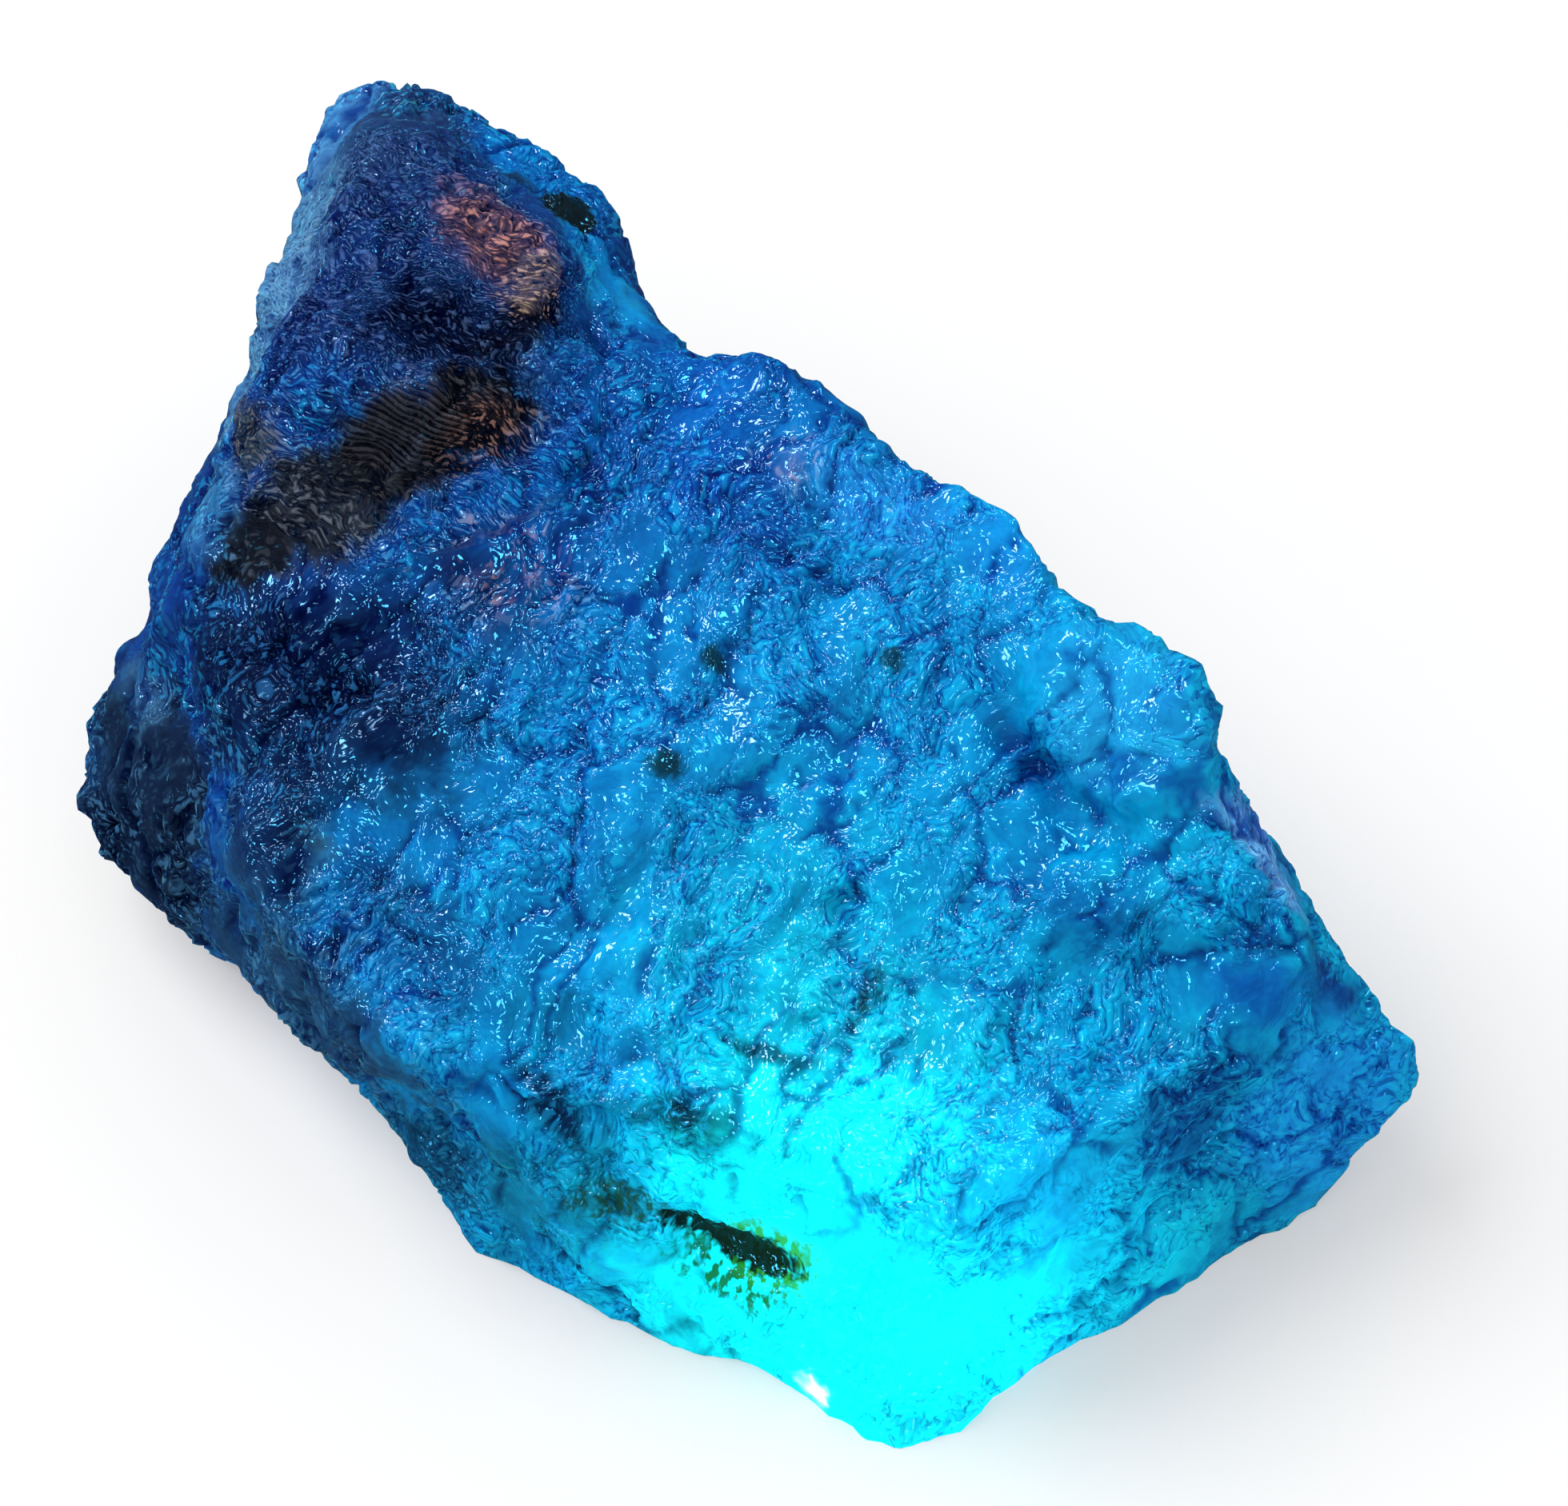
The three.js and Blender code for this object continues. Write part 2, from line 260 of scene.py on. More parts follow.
def cells(width):
    """Cells of one width, with the place that they were read at."""
    finer_by = add(breaking, "ShaderNodeMath", {0: 1.0, 1: given[width]}, operation="DIVIDE")
    at = add(breaking, "ShaderNodeVectorMath", {0: grain_place, "Scale": finer_by}, operation="SCALE")
    return at, add(breaking, "ShaderNodeTexVoronoi", {"Vector": at, "Scale": 1.0}, feature="F1")


def waves(at, width):
    """Noise of one width, from about -0.3 to 0.3."""
    finer_by = add(breaking, "ShaderNodeMath", {0: 1.0, 1: given[width]}, operation="DIVIDE")
    wavy = add(breaking, "ShaderNodeTexNoise", {"Vector": at, "Scale": finer_by, "Detail": 1.0})
    return add(breaking, "ShaderNodeMath", {0: wavy, 1: 0.5}, operation="SUBTRACT")


def creased_swells(at, width, height):
    """Swells of one width and height that meet in sharp creases."""
    up = add(breaking, "ShaderNodeMath", {0: waves(at, width)}, operation="ABSOLUTE")
    up = add(breaking, "ShaderNodeMath", {0: up, 1: MEAN_SWELL}, operation="SUBTRACT")
    return add(breaking, "ShaderNodeMath", {0: up, 1: given[height]}, operation="MULTIPLY")


# long pads, each domed or dished and a little above or below the next, with an open crack along some edges
at, pad = cells("Pad width")
own = add(breaking, "ShaderNodeSeparateXYZ", {0: pad.outputs["Color"]})
domed = add(breaking, "ShaderNodeMapRange", {"Value": own.outputs["X"], 3: -1.0, 4: 0.5})
pads = add(breaking, "ShaderNodeMath", {0: pad.outputs["Distance"], 1: 2.0}, operation="POWER")
pads = add(breaking, "ShaderNodeMath", {0: pads, 1: 0.3}, operation="SUBTRACT")
pads = add(breaking, "ShaderNodeMath", {0: pads, 1: domed}, operation="MULTIPLY")
pads = add(breaking, "ShaderNodeMath", {0: pads, 1: given["Pad height"]}, operation="MULTIPLY")
steps = add(breaking, "ShaderNodeMath", {0: own.outputs["Y"], 1: 0.5}, operation="SUBTRACT")
steps = add(breaking, "ShaderNodeMath", {0: steps, 1: given["Pad step"]}, operation="MULTIPLY")
edge = add(breaking, "ShaderNodeTexVoronoi", {"Vector": at, "Scale": 1.0}, feature="DISTANCE_TO_EDGE")
open_here = add(breaking, "ShaderNodeTexNoise", {"Vector": place_mm, "Scale": 0.2})
open_here = add(
    breaking, "ShaderNodeMapRange", {"Value": open_here, 1: 0.42, 2: 0.54}, interpolation_type="SMOOTHSTEP",
)
crack = add(
    breaking, "ShaderNodeMapRange", {"Value": edge.outputs["Distance"], 1: 0.01, 2: 0.08, 3: 1.0, 4: 0.0},
    interpolation_type="SMOOTHSTEP",
)
crack = add(breaking, "ShaderNodeMath", {0: crack, 1: open_here}, operation="MULTIPLY")
downward = add(breaking, "ShaderNodeMath", {0: 0.0, 1: given["Crack depth"]}, operation="SUBTRACT")
cracks = add(breaking, "ShaderNodeMath", {0: crack, 1: downward}, operation="MULTIPLY")
# the few forms that stand out by themselves
forms = 0.0
stirred = sway(breaking, bend_fine, place_mm, 2.0)
for name, middle, half, turn, stands, softness in FORMS:
    form = zone(breaking, stirred, middle, half, turn, stands, softness)
    forms = add(breaking, "ShaderNodeMath", {0: form, 1: forms})
# swells along the whole stone, and narrower ones, the ledges, across the high end
swells = creased_swells(grain_place, "Swell width", "Swell height")
ledges = creased_swells(ledge_place, "Ledge width", "Ledge height")
ledges = add(breaking, "ShaderNodeMath", {0: ledges, 1: high_end}, operation="MULTIPLY")
# flat faces, each tilted its own way
at, face = cells("Face width")
own_tilt = add(breaking, "ShaderNodeVectorMath", {0: face.outputs["Color"], 1: GREY}, operation="SUBTRACT")
faces = add(breaking, "ShaderNodeVectorMath", {0: at, 1: face.outputs["Position"]}, operation="SUBTRACT")
faces = add(breaking, "ShaderNodeVectorMath", {0: faces, 1: own_tilt}, operation="DOT_PRODUCT")
faces = add(
    breaking, "ShaderNodeMath", {0: faces.outputs["Value"], 1: given["Face tilt"]}, operation="MULTIPLY",
)
grain = waves(grain_place, "Grain width")
grain = add(breaking, "ShaderNodeMath", {0: grain, 1: given["Grain height"]}, operation="MULTIPLY")
# thin plates of the dark rock, one behind another on the step below the high end
slid = sway(breaking, bend_coarse, place_mm, 3.0)
across = add(breaking, "ShaderNodeVectorMath", {0: slid, 1: PLATES_FACE}, operation="DOT_PRODUCT")
turns = add(
    breaking, "ShaderNodeMath", {0: across.outputs["Value"], 1: given["Plate spacing"]}, operation="DIVIDE",
)
saw = add(breaking, "ShaderNodeMath", {0: turns}, operation="FRACT")
saw = add(breaking, "ShaderNodeMath", {0: saw, 1: 0.5}, operation="SUBTRACT")
plated = zone(breaking, slid, *PLATES, strength=1.0, softness=0.5)
plates = add(breaking, "ShaderNodeMath", {0: saw, 1: given["Plate height"]}, operation="MULTIPLY")
plates = add(breaking, "ShaderNodeMath", {0: plates, 1: plated}, operation="MULTIPLY")

# broken patches some 5 mm across, where the faces and the grain are sharp, among smoother ones
grainy = add(breaking, "ShaderNodeTexNoise", {"Vector": grain_place, "Scale": 0.22, "Detail": 3.0})
grainy = add(
    breaking, "ShaderNodeMapRange", {"Value": grainy, 1: 0.42, 2: 0.56}, interpolation_type="SMOOTHSTEP",
)
chips = add(breaking, "ShaderNodeMath", {0: faces, 1: grain})
sharpness = add(breaking, "ShaderNodeMapRange", {"Value": grainy, 3: 0.25, 4: 1.15})
chips = add(breaking, "ShaderNodeMath", {0: chips, 1: sharpness}, operation="MULTIPLY")
relief = add(breaking, "ShaderNodeMath", {0: chips, 1: plates})
for part in (pads, steps, cracks, swells, ledges, forms):
    relief = add(breaking, "ShaderNodeMath", {0: relief, 1: part})

# nothing moves at the foot, and nothing passes below the table or the block's own bounds
clear_of_table = add(
    breaking, "ShaderNodeMapRange",
    {"Value": place_parts.outputs["Z"], 1: FOOT_LOW, 2: FOOT_HIGH, 3: 0.0, 4: 1 / MM_IN_A_METRE},
)
lifted = add(breaking, "ShaderNodeMath", {0: relief, 1: given["Lift"]})
lifted = add(breaking, "ShaderNodeMath", {0: lifted, 1: clear_of_table}, operation="MULTIPLY")
outward = add(breaking, "GeometryNodeInputNormal")
push = add(breaking, "ShaderNodeVectorMath", {0: outward, "Scale": lifted}, operation="SCALE")
moved = add(breaking, "ShaderNodeVectorMath", {0: place, 1: push})
lowest = add(
    breaking, "ShaderNodeMapRange", {"Value": place_parts.outputs["Z"], 1: 0.01, 2: 0.02, 3: 0.0, 4: 2e-5},
)
floor_of_box = add(breaking, "ShaderNodeCombineXYZ", {0: cad_box[0][0], 1: cad_box[0][1], 2: lowest})
kept_in = add(breaking, "ShaderNodeVectorMath", {0: moved, 1: floor_of_box}, operation="MAXIMUM")
kept_in = add(breaking, "ShaderNodeVectorMath", {0: kept_in, 1: tuple(cad_box[1])}, operation="MINIMUM")
grainy = add(breaking, "ShaderNodeMath", {0: grainy, 1: on_high_end}, operation="MAXIMUM")
skin = smooth
for name, kind, value in (
    ("relief", "FLOAT", relief),
    ("crack", "FLOAT", crack),
    ("grainy", "FLOAT", grainy),
    ("grain_place", "FLOAT_VECTOR", grain_place),
    ("chip_place", "FLOAT_VECTOR", chip_place),
    ("plated", "FLOAT", plated),
    ("plate_turns", "FLOAT", turns),
):
    skin = add(
        breaking, "GeometryNodeStoreNamedAttribute", {"Geometry": skin, "Name": name, "Value": value},
        data_type=kind, domain="POINT",
    )
skin = add(breaking, "GeometryNodeSetPosition", {"Geometry": skin, "Position": kept_in})
skin = add(breaking, "GeometryNodeSetShadeSmooth", {0: skin})
skin = add(breaking, "GeometryNodeRealizeInstances", {0: skin})
corundum = bpy.data.materials.new("rough_blue_corundum")
skin = add(breaking, "GeometryNodeSetMaterial", {"Geometry": skin, "Material": corundum})
add(breaking, "NodeGroupOutput", {0: skin})

stone = bpy.data.objects.new("sapphire_stone", finer(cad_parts["sapphire"].data))
bpy.context.scene.collection.objects.link(stone)
made_plain(stone, breaking, FRACTURE)

# The mineral's colour: milky corundum, blue from iron and titanium and paler towards its front corner, with
# stains of dark host rock and rust on the high end. It is laid down in the stone as soft clouds. At the front
# corner a painted glow stands in for the light that the mineral carries there, hollows and cracks get painted
# shade, and crests painted highlights.

# how far along the block, in mm, each shade of its body colour lies
BODY = [
    (-46, "#2b66a6"), (-36, "#153f80"), (-20, "#0c3e8c"), (-9, "#085cae"), (4, "#0a90d4"), (12, "#089cd8"),
    (22, "#04a2dc"), (32, "#04acdf"), (45, "#06aedb"),
]
# the clouds: middle, half sizes and turn about the vertical in mm and degrees, colour, strength and softness
CLOUDS = [
    ("cap", (-27, 3, 37), (15, 12, 6), 0, "#092a68", 0.95, 0.5),
    ("cap_grey", (-36, 7, 34), (7, 8, 6), 0, "#24406c", 0.85, 0.7),
    ("cap_core", (-21.5, 2, 37), (7, 6, 5), 0, "#040a26", 0.95, 0.9),
    ("cap_back", (-38, 15, 32), (9, 7, 7), 0, "#234270", 0.8, 0.7),
    ("tip", (-43, 6, 28), (5, 13, 10), 0, "#478cc8", 0.9, 0.5),
    ("shoulder_back", (-32, 18, 31), (9, 5, 5), 0, "#0670c0", 0.95, 0.5),
    ("shoulder", (-20.5, 15, 32), (8, 5, 5), 20, "#10a4ee", 0.95, 0.5),
    ("royal_band", (-2, 11, 31.5), (9, 5, 4), 0, "#0a48ac", 0.75, 0.9),
    ("upper_band", (-11, 14, 32), (8, 5, 4), 0, "#0c70cc", 0.8, 0.8),
    ("pale_band", (4, 17.5, 32), (9, 4, 5), 0, "#2294e8", 0.8, 0.8),
    ("edge_band", (12, 20, 32), (8, 3, 5), 0, "#10a0ee", 0.8, 0.8),
    ("navy_hollow", (-8, -14.5, 28), (14, 9.5, 8), 0, "#08245c", 0.95, 0.7),
    ("navy_core", (-8, -16.5, 27.5), (12, 6.5, 5), 0, "#050f34", 0.9, 0.8),
    ("navy_ledge", (-7, -5, 30), (9, 4.5, 4), 0, "#081e5c", 0.85, 0.8),
    ("left_rim", (-7, -20, 25.5), (16, 3.6, 5), -23, "#0a1d46", 0.85, 0.8),
    ("left_brink_high", (-13.5, -20.6, 25.5), (7.8, 4.8, 6), -20, "#0e1c40", 0.93, 0.5),
    ("left_brink_low", (-4, -24.2, 23), (7.8, 4.4, 6), -20, "#0e2450", 0.9, 0.6),
    ("ear", (24, 20, 29), (8, 6, 6), 0, "#20acf0", 0.9, 0.6),
    ("ear_shadow", (22, 14.6, 27), (6.5, 2, 4), 5, "#0656ac", 0.85, 0.9),
    ("right_mid", (29, 12, 24.5), (8, 4.5, 4), 0, "#0674b8", 0.85, 0.8),
    ("right_strip", (35, 24, 24), (8, 3.2, 5.5), 30, "#78bcff", 0.92, 0.5),
    ("right_strip_foot", (42, 23, 18), (5, 3, 5), 30, "#0a4498", 0.9, 0.7),
    ("under_strip", (40, 18, 20), (6, 3, 4), 30, "#0666c0", 0.85, 0.7),
    ("end", (45, 20, 10), (7, 9, 11), 0, "#18acf8", 0.95, 0.6),
    ("end_groove", (41.5, 11, 14), (3, 6, 6), 0, "#044c9c", 0.85, 0.9),
    # the lit clouds paint the glow of the light that the mineral carries to its front corner, and the white
    # spot at the foot paints the brightest point of that glow
    ("lit_face", (24, -3, 22), (19, 14, 8), 0, "#04bce0", 0.92, 0.8),
    ("lit_edge", (30, -6, 19.5), (16, 12.5, 8), 0, "#04e4f0", 0.92, 1.0),
    ("lit_right", (43, 4, 4), (8, 13, 8), 0, "#06daf2", 0.92, 0.8),
    ("lit_top", (29, -13, 17), (10, 7, 6.5), 0, "#04e4ea", 0.95, 0.7),
    ("lit_wall", (34, -12, 6), (20, 16.5, 14), 0, "#03e2e8", 0.98, 0.6),
    ("painted_glow_spot", (36.9, -14.4, 1.2), (1.9, 1.4, 1.4), 0, "#f0ffff", 0.98, 0.4),
    ("low_left", (6, -20, 22), (10, 4.5, 5), 0, "#0a4c88", 0.9, 0.8),
    ("low_left_scar", (16, -17, 19.5), (4.5, 4, 3), 0, "#0494c4", 0.85, 0.7),
    ("flank", (2, -29, 12), (25, 7.5, 15), 0, "#1d4a70", 0.97, 0.4),
    ("flank_front", (18, -23, 8), (6, 5, 10), 0, "#0a7898", 0.9, 0.6),
    ("front_left", (21.5, -19.5, 12), (3.5, 3, 6), 0, "#06829c", 0.8, 0.8),
    ("bulge", (-19, -25, 13), (11, 8, 14), 0, "#14243c", 0.97, 0.4),
    ("bulge_haze", (-22, -21, 16), (4, 3, 3), 0, "#4a86b4", 0.7, 0.9),
    # the bulge's rim is painted paler, a painted glow of light through its thin edge
    ("bulge_rim_glow", (-25, -25, 9), (4, 4, 6), 0, "#1f5c92", 0.7, 0.8),
    ("flank_strip", (-34.5, -2, 30), (14, 6, 9), -51, "#5c94bc", 0.9, 0.5),
    ("upper_flank", (-23.5, -15, 30), (6, 4.5, 8), 0, "#3a7cb0", 0.9, 0.6),
    ("olive_edge", (-23.2, -11, 33.5), (3.6, 3, 3), 0, "#3c4642", 0.85, 0.6),
    ("slate_low", (-18.5, -14, 29.5), (3.2, 5, 4.5), 10, "#181b20", 0.97, 0.5),
    ("slate_left", (-17.0, -9, 32), (5.2, 5.5, 4.5), -20, "#2b3038", 0.98, 0.4),
    ("slate_mid", (-16.5, -4, 34), (5.2, 6, 4.5), 0, "#1e2026", 0.98, 0.4),
    ("slate_right", (-15, 1, 34.5), (4.2, 5, 3.5), 0, "#141418", 0.98, 0.4),
    ("slate_rim", (-18.5, 6, 36), (2.8, 6, 4), 0, "#0e0d1c", 0.95, 0.6),
    ("rust", (-25, 9, 37), (6, 3.8, 4), -12, "#6a4e5c", 0.92, 0.6),
    ("tan", (-20.5, 9, 36.5), (2.2, 2.4, 2.4), 0, "#706470", 0.85, 0.6),
    ("teal_chip", (-1.5, -21.5, 24), (3, 1.2, 2), 10, "#38708e", 0.6, 0.7),
    ("front_teal", (22, -18, 12), (6, 5, 8), 0, "#08a4c4", 0.85, 0.8),
    ("flank_low", (11, -24, 5), (7, 4, 6), 10, "#104e6c", 0.85, 0.7),
    ("crack_blue", (17.5, -20, 17.2), (7.5, 1.5, 3.4), 14, "#061a4c", 0.95, 0.6),
    ("streak_1", (24.5, -15.5, 19.8), (6.5, 1.5, 3), 32, "#043848", 0.94, 0.7),
    ("streak_2", (25.5, -8.5, 20.5), (4.5, 1.1, 2), 36, "#053c50", 0.92, 0.7),
    ("streak_3", (26.5, -1.5, 21.5), (4.5, 1.0, 2), 115, "#06485c", 0.92, 0.8),
]
# painted highlights: the colour that the crests of the grain catch the light in, painted on them: as the
# clouds, over a clear blue
CREST_HIGHLIGHTS = [
    ("narrow_end", (-40, 0, 10), (24, 40, 20), 0, "#184c88", 0.9, 0.6),
    ("hollow", (-9, -16, 28), (14, 9, 8), 0, "#2a6cac", 0.9, 0.6),
    ("high_end", (-28, 3, 36), (17, 13, 8), 0, "#4a5480", 0.9, 0.4),
    ("flank", (-6, -27, 14), (32, 9, 17), 0, "#3a6a90", 0.95, 0.4),
    ("olive_edge", (-23.2, -11, 33.5), (4.5, 4, 4), 0, "#6c6054", 0.95, 0.5),
    ("slate_left", (-17, -10.5, 31.5), (6, 7.5, 5), -20, "#707884", 0.97, 0.4),
    ("slate", (-16, -3, 34), (6, 9, 5), 0, "#48464a", 0.97, 0.4),
    ("rust", (-25.3, 9.2, 37), (6.5, 4, 3.6), -12, "#e89c80", 0.95, 0.7),
    ("tan", (-20, 8.5, 36.5), (3, 3, 3), 0, "#e8c0a0", 0.95, 0.6),
    ("slate_foot", (-13.5, 1.0, 34), (3.2, 5, 3), 0, "#c08c78", 0.8, 0.8),
    ("ledge", (-7, -3, 30), (8, 6, 3), 0, "#dca088", 0.85, 0.9),
    ("band", (-2, 14.5, 33), (3.5, 3, 2.5), 0, "#e8c8b8", 0.95, 0.8),
]
HIGHLIGHT_BLUE = "#0c94cc"
# what the mottling and the painted shade in creases, cracks and hollows darken towards: blue, and teal near
# the lit front corner
DEEP_BLUE, DEEP_TEAL = "#3470b8", "#2090a0"
# how far a cloud's edge is moved about, in mm, and how much it frays
COLOURING = {"Wide sway": 8.0, "Narrow sway": 2.2, "Fraying": 0.8}
# smaller clouds than this, in mm, keep nearer to their place
SMALL_CLOUD = 8
# where the corner glows, and where the painted shade in creases is teal: middle, half sizes and turn, as the
# clouds
GLOW = (38, -8, 6), (20, 20, 15), 0
FRONT = (36, -14, 8), (34, 28, 24), 0


def linear(hex_colour):
    """sRGB hex as a linear colour with full alpha."""
    parts = [int(hex_colour[i:i + 2], 16) / 255 for i in (1, 3, 5)]
    return tuple(p / 12.92 if p <= 0.04045 else ((p + 0.055) / 1.055) ** 2.4 for p in parts) + (1.0,)


staining = nodes_tree("colour clouds", COLOURING)
given = add(staining, "NodeGroupInput").outputs
spot = add(staining, "GeometryNodeInputPosition")
spot = add(staining, "ShaderNodeVectorMath", {0: spot, "Scale": MM_IN_A_METRE}, operation="SCALE")
slow = add(staining, "ShaderNodeTexNoise", {"Vector": spot, "Scale": 0.12})
quick = add(staining, "ShaderNodeTexNoise", {"Vector": spot, "Scale": 0.8, "Detail": 3.0})
ragged = sway(staining, quick, sway(staining, slow, spot, given["Narrow sway"]), given["Narrow sway"])
cloudy = sway(staining, quick, sway(staining, slow, spot, given["Wide sway"]), given["Narrow sway"])
frayed = add(
    staining, "ShaderNodeTexNoise", {"Vector": ragged, "Scale": 0.6, "Detail": 5.0, "Roughness": 0.65},
)
frayed = add(staining, "ShaderNodeMath", {0: frayed, 1: 0.5}, operation="SUBTRACT")
frayed = add(staining, "ShaderNodeMath", {0: frayed, 1: given["Fraying"]}, operation="MULTIPLY")

along = add(staining, "ShaderNodeSeparateXYZ", {0: cloudy})
first, last = BODY[0][0], BODY[-1][0]
part_way = add(staining, "ShaderNodeMapRange", {"Value": along.outputs["X"], 1: first, 2: last})
colour = add(staining, "ShaderNodeValToRGB", {0: part_way})
while len(colour.color_ramp.elements) < len(BODY):
    colour.color_ramp.elements.new(1.0)
for element, (at, shade) in zip(colour.color_ramp.elements, BODY):
    element.position = (at - first) / (last - first)
    element.color = linear(shade)
for name, middle, half, turn, shade, strength, softness in CLOUDS:
    source = ragged if max(half) < SMALL_CLOUD else cloudy
    stain = zone(staining, source, middle, half, turn, strength, softness, frayed)
    stained = {"Factor": stain, "A": colour, "B": linear(shade)}
    colour = add(staining, "ShaderNodeMix", stained, data_type="RGBA")

# hollows and cracks get painted shade and crests painted highlights, the whole is mottled over 2 to 4 mm,
# and all of it fades where the corner glows
relief_here = add(staining, "GeometryNodeInputNamedAttribute", {"Name": "relief"}, data_type="FLOAT")
grain_here = add(
    staining, "GeometryNodeInputNamedAttribute", {"Name": "grain_place"}, data_type="FLOAT_VECTOR",
)
unlit = zone(staining, cloudy, *GLOW, strength=-0.75, softness=0.8)
unlit = add(staining, "ShaderNodeMath", {0: unlit, 1: 1.0})
in_front = zone(staining, cloudy, *FRONT, strength=1.0, softness=0.8)
deep = add(
    staining, "ShaderNodeMix", {"Factor": in_front, "A": linear(DEEP_BLUE), "B": linear(DEEP_TEAL)},
    data_type="RGBA",
)
mottle = add(
    staining, "ShaderNodeTexNoise", {"Vector": grain_here, "Scale": 0.45, "Detail": 3.0, "Roughness": 0.6},
)
mottle = add(
    staining, "ShaderNodeMapRange", {"Value": mottle, 1: 0.6, 2: 0.36, 4: 0.4},
    interpolation_type="SMOOTHSTEP",
)
crack_here = add(staining, "GeometryNodeInputNamedAttribute", {"Name": "crack"}, data_type="FLOAT")
cracked = add(staining, "ShaderNodeMath", {0: crack_here, 1: 0.9}, operation="MULTIPLY")
hollow = add(
    staining, "ShaderNodeMapRange", {"Value": relief_here, 1: -0.1, 2: -0.8, 4: 0.65},
    interpolation_type="SMOOTHSTEP",
)
for depth in (mottle, cracked, hollow):
    depth = add(staining, "ShaderNodeMath", {0: depth, 1: unlit}, operation="MULTIPLY")
    colour = add(
        staining, "ShaderNodeMix", {"Factor": depth, "A": colour, "B": deep},
        data_type="RGBA", blend_type="MULTIPLY",
    )
# the colour of the painted highlights, cloud by cloud, and how strongly they are painted on the raised crests
highlight_colour = linear(HIGHLIGHT_BLUE)
for name, middle, half, turn, shade, strength, softness in CREST_HIGHLIGHTS:
    stain = zone(staining, ragged, middle, half, turn, strength, softness, frayed)
    stained = {"Factor": stain, "A": highlight_colour, "B": linear(shade)}
    highlight_colour = add(staining, "ShaderNodeMix", stained, data_type="RGBA")
raised = add(
    staining, "ShaderNodeMapRange", {"Value": relief_here, 1: 0.05, 2: 0.7, 4: 0.25},
    interpolation_type="SMOOTHSTEP",
)
colour = add(
    staining, "ShaderNodeMix", {"Factor": raised, "A": colour, "B": highlight_colour},
    data_type="RGBA", blend_type="SCREEN",
)
skin = given["Geometry"]
for name, kind, value in (
    ("shade", "FLOAT_COLOR", colour),
    ("highlight_colour", "FLOAT_COLOR", highlight_colour),
    ("deep", "FLOAT_COLOR", deep),
    ("frayed", "FLOAT", frayed),
):
    skin = add(
        staining, "GeometryNodeStoreNamedAttribute", {"Geometry": skin, "Name": name, "Value": value},
        data_type=kind, domain="POINT",
    )
skin = add(staining, "GeometryNodeRealizeInstances", {0: skin})
skin = add(staining, "GeometryNodeSetMaterial", {"Geometry": skin, "Material": corundum})
add(staining, "NodeGroupOutput", {0: skin})
made_plain(stone, staining, COLOURING)

# Its surface: fresh breaks have a glassy lustre, which the grain splits into glints on the clean mineral,
# while the stained rock is dull. Light that goes in comes out again a few millimetres away. A few fractures
# hold green chlorite.
CORUNDUM_IOR = 1.76
# chips of about half a millimetre, on swells of up to one millimetre; the numbers are per mm
SWELLS_PER_MM, CHIPS_PER_MM = 1.5, 2.7
# how far the swells bend the chips' edges, in chips, and how far a chip tilts
CHIP_SWAY, CHIP_TILT = 2.6, 0.6
LEAVES_IN_A_PLATE = 3.0
# the chlorite: as the clouds, with how far each breaks up into strands that hang down the wall
CHLORITE = [
    ("inclusion", (-26.3, 16.0, 32.4), (2.0, 2.0, 3.4), 20, "#0a1a1c", 0.98, 0.25, 0.0),
    ("inclusion_trail", (-29.6, 14.8, 33.4), (2.6, 0.9, 1.4), 20, "#123048", 0.8, 0.8, 0.0),
    ("strands", (31, -16, 9.2), (5.6, 5, 3.4), 40, "#0a5410", 0.95, 0.6, 1.0),
    ("halo", (32.2, -14, 11.4), (4.6, 4, 2.8), 40, "#248410", 0.92, 0.5, 0.65),
    ("olive", (24.5, -19, 11.8), (4.4, 3.5, 1.7), 40, "#124632", 0.9, 0.5, 0.6),
    ("band", (30, -15, 11.0), (5.8, 4.0, 1.5), 40, "#03140f", 0.98, 0.3, 0.0),
    ("left_speck", (5, 3.5, 28.5), (1.2, 1.0, 1.6), 30, "#0a3038", 0.9, 0.6, 0.0),
    ("middle_speck", (8.5, -3, 27), (1.6, 1.3, 1.6), 30, "#0a3038", 0.9, 0.6, 0.0),
    ("right_speck", (11.5, 12, 28.5), (1.1, 0.9, 1.6), 30, "#0c3c50", 0.85, 0.6, 0.0),
]

corundum.use_nodes = True
tree = corundum.node_tree
tree.nodes.clear()
coords = add(tree, "ShaderNodeTexCoord")
spot = add(
    tree, "ShaderNodeVectorMath", {0: coords.outputs["Object"], "Scale": MM_IN_A_METRE}, operation="SCALE",
)
# what the two trees have left at the stone's points
shade_here = add(tree, "ShaderNodeAttribute", attribute_name="shade").outputs["Color"]
highlight_colour_here = add(tree, "ShaderNodeAttribute", attribute_name="highlight_colour").outputs["Color"]
deep_here = add(tree, "ShaderNodeAttribute", attribute_name="deep").outputs["Color"]
chip_place = add(tree, "ShaderNodeAttribute", attribute_name="chip_place").outputs["Vector"]
grainy_here = add(tree, "ShaderNodeAttribute", attribute_name="grainy").outputs["Fac"]
frayed_here = add(tree, "ShaderNodeAttribute", attribute_name="frayed").outputs["Fac"]
plated_here = add(tree, "ShaderNodeAttribute", attribute_name="plated").outputs["Fac"]
plate_turns = add(tree, "ShaderNodeAttribute", attribute_name="plate_turns").outputs["Fac"]

